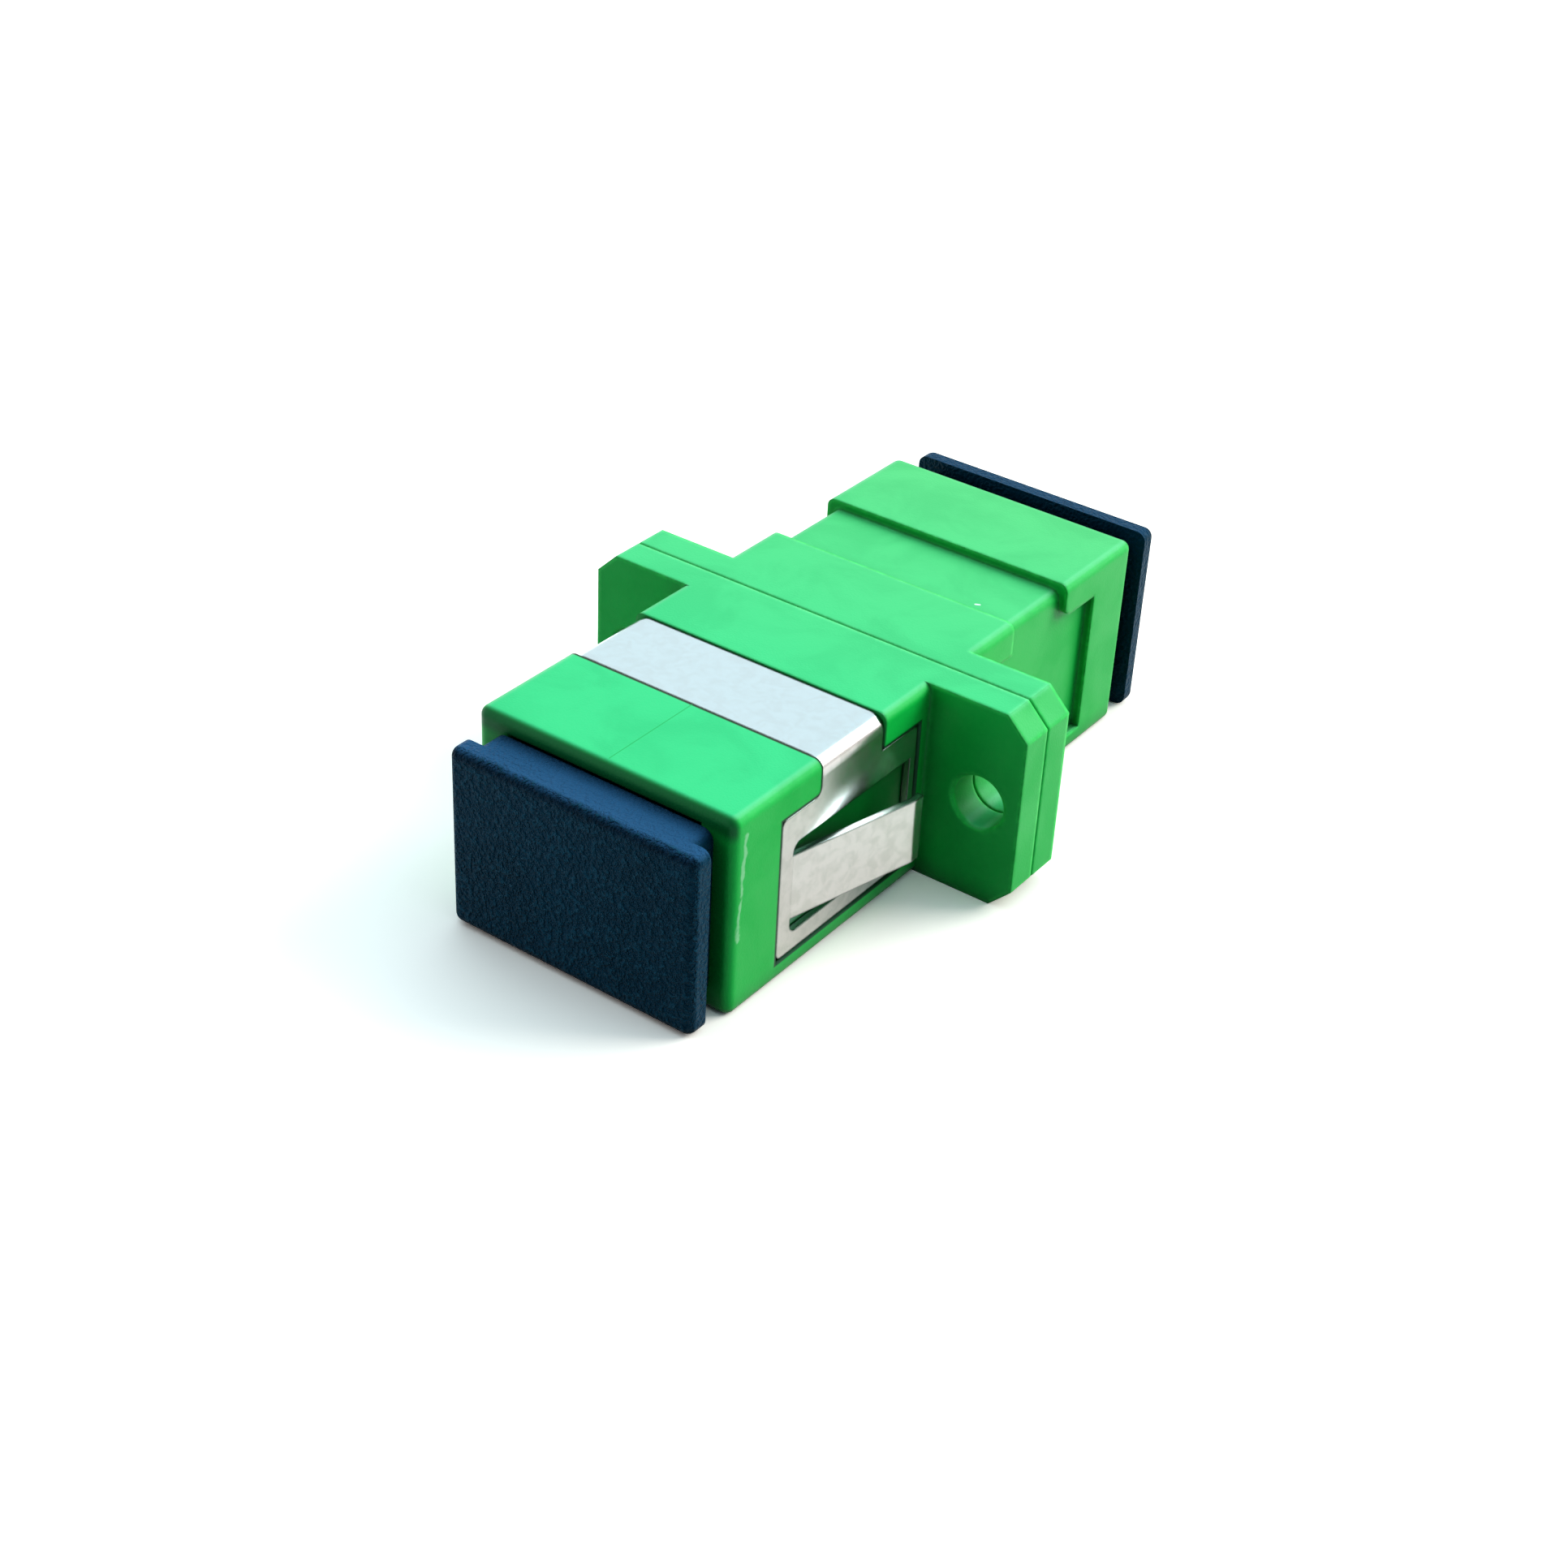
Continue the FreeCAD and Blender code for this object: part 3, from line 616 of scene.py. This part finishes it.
def makeHolder(look):
    material, tree, shader = newMaterial("holder moulding")
    place = addNode(tree, "ShaderNodeTexCoord").outputs["Object"]
    patches = useGroup(tree, smudges, {"Vector": place, "Size": look["holderPatchSize"]}).outputs["Mask"]
    pale = rgba(look["holderColor"])
    dull = rgba([look["holderDullness"] * value for value in look["holderColor"]])
    tree.links.new(mixColors(tree, patches, pale, dull), shader.inputs["Base Color"])
    height = useGroup(tree, grain, {
        "Vector": place, "Size": look["grainSize"], "Fine Share": 0.4,
    }).outputs["Height"]
    bump = addNode(tree, "ShaderNodeBump", {
        "Height": height, "Distance": look["grainDepth"], "Strength": 0.5,
    })
    tree.links.new(bump.outputs["Normal"], shader.inputs["Normal"])
    shader.inputs["Roughness"].default_value = look["holderRoughness"]
    return material


def makeCeramic(look):
    material, tree, shader = newMaterial("white ceramic")
    place = addNode(tree, "ShaderNodeTexCoord").outputs["Object"]
    marks = useGroup(tree, smudges, {
        "Vector": place, "Size": look["groundSize"], "Stretch": look["groundStretch"],
    }).outputs["Mask"]
    bright = rgba(look["sleeveColor"])
    dull = rgba([look["sleeveDullness"] * value for value in look["sleeveColor"]])
    tree.links.new(mixColors(tree, marks, bright, dull), shader.inputs["Base Color"])
    rough = remap(tree, marks, 0.0, 1.0, *look["sleeveRoughness"])
    tree.links.new(rough, shader.inputs["Roughness"])
    return material


housingGreen = makeHousing(housingLook)
capNavy = makeCap(capLook)
holderWhite = makeHolder(insideLook)
paints = {
    "housing_front": housingGreen,
    "housing_rear": housingGreen,
    "spring_clip": makeSteel(clipLook),
    "dust_cap_front": capNavy,
    "dust_cap_rear": capNavy,
    "sleeve_holder_front": holderWhite,
    "sleeve_holder_rear": holderWhite,
    "split_sleeve": makeCeramic(insideLook),
}
for node, material in paints.items():
    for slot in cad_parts[node].material_slots:
        slot.material = material
print("materials assigned")

# floor, world and lamps

studio = {
    "floorSize": 3.0,
    # the floor as it is seen and mirrored, and as it lights the object
    "floorSeen": (1.44, 1.27, 1.19),
    "floorBounce": (0.15, 0.15, 0.15),
    "backdrop": (1.0, 1.0, 1.0),
    # the sky lights the object from above and behind
    "skyDark": (0.03, 0.035, 0.04),
    "skyBright": (0.95, 1.30, 1.42),
    "skyToward": (-0.05, 0.74, 0.67),
    "skyRange": (-0.15, 0.70),
    "lamps": {
        # name: (place, size, power, color)
        "rightWindow": ((0.28, 0.32, 0.26), (0.30, 0.30), 1.9, (1.0, 1.0, 0.93)),
        "leftFill": ((-0.34, -0.22, 0.15), (0.25, 0.25), 0.40, (1.0, 1.0, 1.0)),
    },
}


def seenRays(tree):
    # 1 for the rays that show the background: straight, mirrored or through glass
    path = tree.nodes.new("ShaderNodeLightPath")
    seen = calculate(tree, "MAXIMUM", path.outputs["Is Camera Ray"], path.outputs["Is Glossy Ray"])
    return calculate(tree, "MAXIMUM", seen, path.outputs["Is Transmission Ray"])


def addFloor(setup):
    half = setup["floorSize"] / 2
    mesh = bpy.data.meshes.new("floor")
    corners = [(-half, -half, 0), (half, -half, 0), (half, half, 0), (-half, half, 0)]
    mesh.from_pydata(corners, [], [(0, 1, 2, 3)])
    floor = bpy.data.objects.new("floor", mesh)
    bpy.context.scene.collection.objects.link(floor)
    material = bpy.data.materials.new("floor")
    material.use_nodes = True
    tree = material.node_tree
    tree.nodes.clear()
    output = tree.nodes.new("ShaderNodeOutputMaterial")
    color = mixColors(tree, seenRays(tree), rgba(setup["floorBounce"]), rgba(setup["floorSeen"]))
    diffuse = addNode(tree, "ShaderNodeBsdfDiffuse", {"Color": color})
    tree.links.new(diffuse.outputs["BSDF"], output.inputs["Surface"])
    mesh.materials.append(material)


def addWorld(setup):
    world = bpy.data.worlds.new("studio")
    bpy.context.scene.world = world
    world.use_nodes = True
    tree = world.node_tree
    tree.nodes.clear()
    output = tree.nodes.new("ShaderNodeOutputWorld")
    direction = addNode(tree, "ShaderNodeTexCoord").outputs["Generated"]
    toward = addNode(tree, "ShaderNodeVectorMath", {
        0: direction, 1: setup["skyToward"],
    }, operation="DOT_PRODUCT")
    bright = remap(tree, toward.outputs["Value"], *setup["skyRange"], smooth=True)
    sky = mixColors(tree, bright, rgba(setup["skyDark"]), rgba(setup["skyBright"]))
    shown = mixColors(tree, seenRays(tree), sky, rgba(setup["backdrop"]))
    background = addNode(tree, "ShaderNodeBackground", {"Color": shown, "Strength": 1.0})
    tree.links.new(background.outputs["Background"], output.inputs["Surface"])


def addLamps(setup):
    for name, (place, size, power, color) in setup["lamps"].items():
        data = bpy.data.lights.new(name, "AREA")
        data.shape = "RECTANGLE"
        data.size, data.size_y = size
        data.energy = power
        data.color = color
        lamp = bpy.data.objects.new(name, data)
        bpy.context.scene.collection.objects.link(lamp)
        lamp.location = place
        lamp.rotation_euler = Vector(place).to_track_quat("Z", "Y").to_euler()


addFloor(studio)
addWorld(studio)
addLamps(studio)
print("floor, world and lamps placed")

bpy.context.scene.view_settings.view_transform = "Standard"
